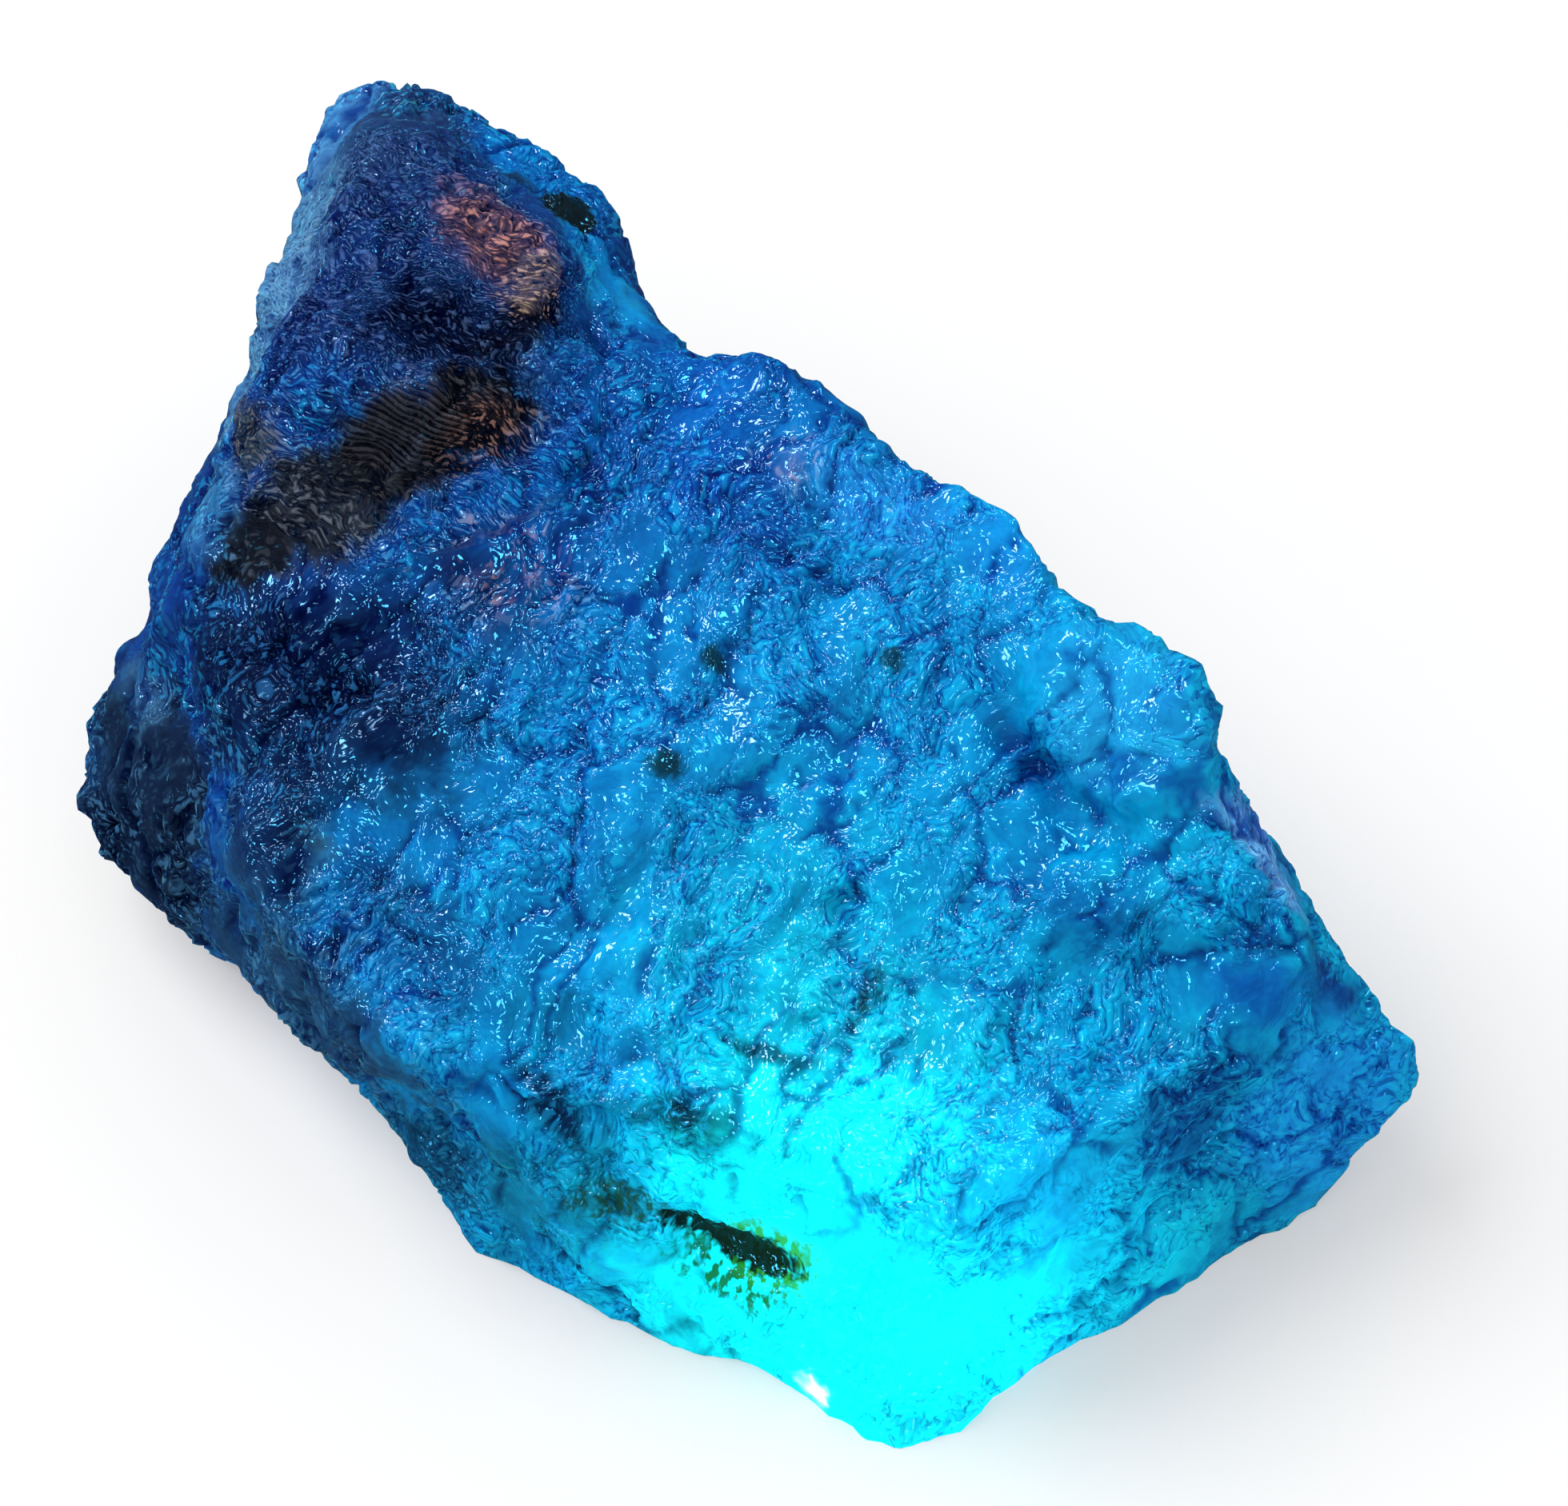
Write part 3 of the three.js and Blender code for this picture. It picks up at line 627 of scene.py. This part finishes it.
# the grain: swells about 1 mm wide that meet in creases, split into flat chips of half a millimetre, each
# with its own tilt and its own tone; sharp in the broken patches, faint elsewhere
ripple = add(tree, "ShaderNodeTexNoise", {"Vector": chip_place, "Scale": SWELLS_PER_MM, "Detail": 1.0})
creased = add(tree, "ShaderNodeMath", {0: ripple, 1: 0.5}, operation="SUBTRACT")
creased = add(tree, "ShaderNodeMath", {0: creased}, operation="ABSOLUTE")
crooked = add(tree, "ShaderNodeVectorMath", {0: chip_place, 1: (CHIPS_PER_MM,) * 3}, operation="MULTIPLY")
crooked = add(
    tree, "ShaderNodeVectorMath", {0: ripple.outputs["Color"], 1: (CHIP_SWAY,) * 3, 2: crooked},
    operation="MULTIPLY_ADD",
)
chip = add(tree, "ShaderNodeTexVoronoi", {"Vector": crooked, "Scale": 1.0}, feature="F1")
chip_tilt = add(tree, "ShaderNodeVectorMath", {0: chip.outputs["Color"], 1: GREY}, operation="SUBTRACT")
chip_middle = chip.outputs["Position"]
from_middle = add(tree, "ShaderNodeVectorMath", {0: crooked, 1: chip_middle}, operation="SUBTRACT")
tilted = add(tree, "ShaderNodeVectorMath", {0: from_middle, 1: chip_tilt}, operation="DOT_PRODUCT")
chip_own = add(tree, "ShaderNodeSeparateColor", {0: chip.outputs["Color"]})
# each plate of the dark rock shows three thin leaves in place of the swells
leaves = add(tree, "ShaderNodeMath", {0: plate_turns, 1: LEAVES_IN_A_PLATE}, operation="MULTIPLY")
leaves = add(tree, "ShaderNodeMath", {0: leaves}, operation="FRACT")
leaves = add(tree, "ShaderNodeMath", {0: leaves, 1: 0.3}, operation="MULTIPLY")
swell = add(tree, "ShaderNodeMix", {"Factor": plated_here, "A": creased, "B": leaves}, data_type="FLOAT")
height = add(tree, "ShaderNodeMath", {0: tilted.outputs["Value"], 1: 0.22}, operation="MULTIPLY")
height = add(tree, "ShaderNodeMath", {0: height, 1: 0.06})
height = add(tree, "ShaderNodeMath", {0: swell, 1: height})
strength = add(tree, "ShaderNodeMapRange", {"Value": grainy_here, 3: 0.2, 4: 1.0})
raised = add(tree, "ShaderNodeMath", {0: swell, 1: strength}, operation="MULTIPLY")
bump = add(tree, "ShaderNodeBump", {"Height": raised, "Strength": 1.0, "Distance": 0.001})
tilt_by = add(tree, "ShaderNodeMath", {0: strength, 1: CHIP_TILT}, operation="MULTIPLY")
facing = add(tree, "ShaderNodeVectorMath", {0: chip_tilt, "Scale": tilt_by}, operation="SCALE")
facing = add(tree, "ShaderNodeVectorMath", {0: facing, 1: bump})
facing = add(tree, "ShaderNodeVectorMath", {0: facing}, operation="NORMALIZE")
# the stained rock, which is not blue, shines less than the mineral; light spreads inside the mineral, so
# its body shows the same relief much softer than its skin does
shade_parts = add(tree, "ShaderNodeSeparateColor", {0: shade_here}).outputs
blueness = add(tree, "ShaderNodeMath", {0: shade_parts["Blue"], 1: shade_parts["Red"]}, operation="SUBTRACT")
lustre = add(
    tree, "ShaderNodeMapRange", {"Value": blueness, 1: 0.01, 2: 0.12, 3: 0.06},
    interpolation_type="SMOOTHSTEP",
)
softness = add(tree, "ShaderNodeMath", {0: lustre, 1: 1.6}, operation="MULTIPLY")
own_normal = add(tree, "ShaderNodeNewGeometry").outputs["Normal"]
soft_normal = add(tree, "ShaderNodeVectorMath", {0: own_normal, "Scale": softness}, operation="SCALE")
soft_normal = add(tree, "ShaderNodeVectorMath", {0: soft_normal, 1: facing})
soft_normal = add(tree, "ShaderNodeVectorMath", {0: soft_normal}, operation="NORMALIZE")

# creases get painted shade and one chip in three is deeper in colour, crests get painted highlights, and
# less so where the corner glows
brightness = add(tree, "ShaderNodeRGBToBW", {0: shade_here})
subdued = add(
    tree, "ShaderNodeMapRange", {"Value": brightness, 1: 0.35, 2: 0.65, 3: 1.0, 4: 0.3},
    interpolation_type="SMOOTHSTEP",
)
pattern = add(tree, "ShaderNodeMath", {0: strength, 1: subdued}, operation="MULTIPLY")
darkest = add(tree, "ShaderNodeMapRange", {"Value": lustre, 3: 1.0, 4: 0.85})
crease_shade = add(
    tree, "ShaderNodeMapRange", {"Value": height, 1: 0.02, 2: 0.12, 3: 1.0, 4: 0.0},
    interpolation_type="SMOOTHSTEP",
)
crease_shade = add(tree, "ShaderNodeMath", {0: crease_shade, 1: pattern}, operation="MULTIPLY")
crease_shade = add(tree, "ShaderNodeMath", {0: crease_shade, 1: darkest}, operation="MULTIPLY")
colour = add(
    tree, "ShaderNodeMix", {"Factor": crease_shade, "A": shade_here, "B": deep_here},
    data_type="RGBA", blend_type="MULTIPLY",
)
tone = add(
    tree, "ShaderNodeMapRange", {"Value": chip_own.outputs["Red"], 1: 0.0, 2: 0.6, 3: 0.45, 4: 0.0},
    interpolation_type="SMOOTHSTEP",
)
tone = add(tree, "ShaderNodeMath", {0: tone, 1: pattern}, operation="MULTIPLY")
colour = add(
    tree, "ShaderNodeMix", {"Factor": tone, "A": colour, "B": deep_here},
    data_type="RGBA", blend_type="MULTIPLY",
)
painted_crest_highlights = add(tree, "ShaderNodeMapRange", {"Value": height, 1: 0.15, 2: 0.26}, interpolation_type="SMOOTHSTEP")
painted_crest_highlights = add(tree, "ShaderNodeMath", {0: painted_crest_highlights, 1: pattern}, operation="MULTIPLY")
painted_crest_highlights = add(tree, "ShaderNodeMath", {0: painted_crest_highlights, 1: 0.6}, operation="MULTIPLY")
colour = add(
    tree, "ShaderNodeMix", {"Factor": painted_crest_highlights, "A": colour, "B": highlight_colour_here},
    data_type="RGBA", blend_type="SCREEN",
)
# the chlorite, its edges broken up by the grain
frayed = add(tree, "ShaderNodeMath", {0: height, 1: 0.15}, operation="SUBTRACT")
frayed = add(tree, "ShaderNodeMath", {0: frayed, 1: frayed_here})
hanging = add(tree, "ShaderNodeVectorMath", {0: spot, 1: (1.0, 1.0, 0.4)}, operation="MULTIPLY")
strands = add(tree, "ShaderNodeTexNoise", {"Vector": hanging, "Scale": 2.0, "Detail": 1.0})
strands = add(
    tree, "ShaderNodeMapRange", {"Value": strands, 1: 0.44, 2: 0.58}, interpolation_type="SMOOTHSTEP",
)
for name, middle, half, turn, shade, strong, softness, broken_up in CHLORITE:
    solid = zone(tree, spot, middle, half, turn, strong, softness, frayed)
    in_strands = add(tree, "ShaderNodeMath", {0: solid, 1: strands}, operation="MULTIPLY")
    share = add(tree, "ShaderNodeMix", {"Factor": broken_up, "A": solid, "B": in_strands}, data_type="FLOAT")
    colour = add(tree, "ShaderNodeMix", {"Factor": share, "A": colour, "B": linear(shade)}, data_type="RGBA")

body = add(
    tree, "ShaderNodeBsdfPrincipled",
    {
        "Base Color": colour, "Roughness": 0.5, "IOR": CORUNDUM_IOR, "Normal": soft_normal,
        "Subsurface Weight": 0.4, "Subsurface Radius": (0.5, 0.9, 1.0), "Subsurface Scale": 0.002,
        "Specular IOR Level": 0.0,
        "Coat Weight": lustre, "Coat Roughness": 0.09, "Coat IOR": CORUNDUM_IOR, "Coat Normal": facing,
    },
    subsurface_method="RANDOM_WALK",
)
through = add(tree, "ShaderNodeBsdfTranslucent", {"Color": colour, "Normal": soft_normal})
surface = add(tree, "ShaderNodeMixShader", {0: 0.15, 1: body, 2: through})
add(tree, "ShaderNodeOutputMaterial", {"Surface": surface})

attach(stone, "root")
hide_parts("sapphire")

# The table: one plain pale sheet of matt card, which shows no gloss and is lit until it is almost white. It
# lies loose under the stone, as stage, and is no part of it.
WHITE, PALE_CARD = linear("#ffffff"), linear("#bcbcbc")
REACH, TOP = 4, -5e-5
corners = [(-REACH, -REACH, TOP), (REACH, -REACH, TOP), (REACH, REACH, TOP), (-REACH, REACH, TOP)]
floor_mesh = bpy.data.meshes.new("floor")
floor_mesh.from_pydata(corners, [], [(0, 1, 2, 3)])
floor = bpy.data.objects.new("floor", floor_mesh)
bpy.context.scene.collection.objects.link(floor)
floor.visible_glossy = False
sheet = bpy.data.materials.new("matt_white_card")
sheet.use_nodes = True
sheet.node_tree.nodes.clear()
sheet_surface = add(
    sheet.node_tree, "ShaderNodeBsdfPrincipled",
    {
        "Base Color": PALE_CARD, "Roughness": 0.8, "Specular IOR Level": 0.0,
        "Emission Color": WHITE, "Emission Strength": 0.32,
    },
)
add(sheet.node_tree, "ShaderNodeOutputMaterial", {"Surface": sheet_surface})
floor_mesh.materials.append(sheet)

# The light: a pale even room, a broad soft light from the left, small lights that only glint, and two small
# torches that stand for the light which the mineral carries to its front corner. They are inside the stone,
# and light nothing else.
ROOM, ROOM_IN_GLOSS = 0.85, 0.03
world = bpy.data.worlds.new("room")
bpy.context.scene.world = world
world.use_nodes = True
world.node_tree.nodes.clear()
# the room is dark to the glossy skin, so that only the lamps glint in it
rays = add(world.node_tree, "ShaderNodeLightPath")
room = add(
    world.node_tree, "ShaderNodeMapRange",
    {"Value": rays.outputs["Is Glossy Ray"], 3: ROOM, 4: ROOM_IN_GLOSS},
)
pale = add(world.node_tree, "ShaderNodeBackground", {"Color": WHITE, "Strength": room})
add(world.node_tree, "ShaderNodeOutputWorld", {"Surface": pale})


def lamp(name, at, aim, size, power, colour="#ffffff"):
    """One round soft lamp, at a place in metres and turned to face another."""
    bulb = bpy.data.lights.new(name, "AREA")
    bulb.shape = "DISK"
    bulb.size = size
    bulb.energy = power
    bulb.color = linear(colour)[:3]
    made = bpy.data.objects.new(name, bulb)
    made.location = at
    made.rotation_euler = (Vector(aim) - Vector(at)).to_track_quat("-Z", "Y").to_euler()
    bpy.context.scene.collection.objects.link(made)
    return made


MIDDLE = (0, 0, 0)
key = lamp("soft_key", (-0.72, -0.34, 1.0), MIDDLE, size=0.9, power=14)
key.visible_glossy = False
GLINTS_FROM = [
    ("left", (-0.6, 0.1, 0.8), "#a0d0ff"), ("right", (0.5, 0.35, 0.8), "#50c4ff"),
    ("front", (0.3, -0.9, 0.7), "#50c4ff"), ("back", (-0.15, 0.55, 0.9), "#50c4ff"),
    ("side", (-0.35, -0.6, 0.9), "#80ccff"),
]
for side, at, tint in GLINTS_FROM:
    glint = lamp("glint_from_" + side, at, MIDDLE, size=0.24, power=3.8, colour=tint)
    glint.visible_diffuse = False
lit = bpy.data.collections.new("lit_by_torch")
lit.objects.link(stone)
for name, at, aim, size, power in (
    ("torch", (0.027, -0.002, 0.009), (0.040, -0.015, 0.005), 0.02, 0.021),
    ("torch_at_foot", (0.036, -0.005, 0.004), (0.044, -0.012, 0.002), 0.008, 0.006),
):
    torch = lamp(name, at, aim, size, power)
    torch.visible_glossy = False
    torch.light_linking.receiver_collection = lit

bpy.context.scene.view_settings.view_transform = "Standard"
bpy.context.scene.cycles.use_denoising = True
bpy.context.scene.cycles.diffuse_bounces = 2
